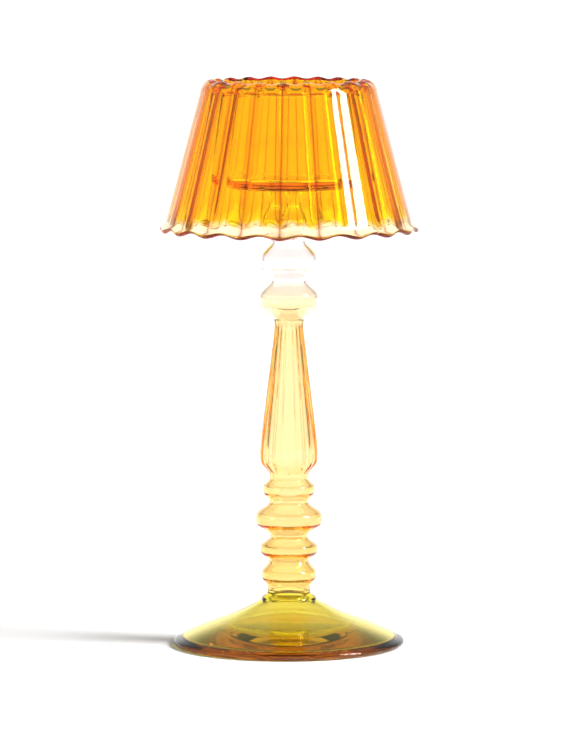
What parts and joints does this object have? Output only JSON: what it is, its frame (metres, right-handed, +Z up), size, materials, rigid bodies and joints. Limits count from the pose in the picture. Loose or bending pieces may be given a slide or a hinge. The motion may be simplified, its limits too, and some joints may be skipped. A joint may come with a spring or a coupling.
{
  "type": "tealight holder",
  "caption": "Blown-glass tealight holder: amber foot, beaded and fluted stem fading to clear, plain cup and a lift-off pleated orange shade.",
  "frame": {"origin": "centre of the ring that the foot stands on, at table level", "axes": "+Z up along the stem; +X to the right and -Y towards the viewer, with one of the shade's ribs 4.2 degrees to the left of -Y"},
  "size_m": [0.0894, 0.0894, 0.1957],
  "materials": {
    "amber_glass": "polished",
    "yellow_glass": "polished",
    "straw_glass": "polished",
    "clear_glass": "polished",
    "orange_glass": "polished"
  },
  "bodies": {
    "holder": {"foot": "amber_glass", "foot_weld": "amber_glass", "lower_stem": "yellow_glass", "fluted_column": "yellow_glass", "upper_stem": "straw_glass", "cup_stem": "clear_glass", "cup": "clear_glass"},
    "shade": {"shade": "orange_glass"}
  },
  "joints": [
    {"name": "lift_shade", "type": "slide", "parent": "holder", "child": "shade", "axis": [0, 0, 1], "range_m": [0, 0.06]}
  ]
}
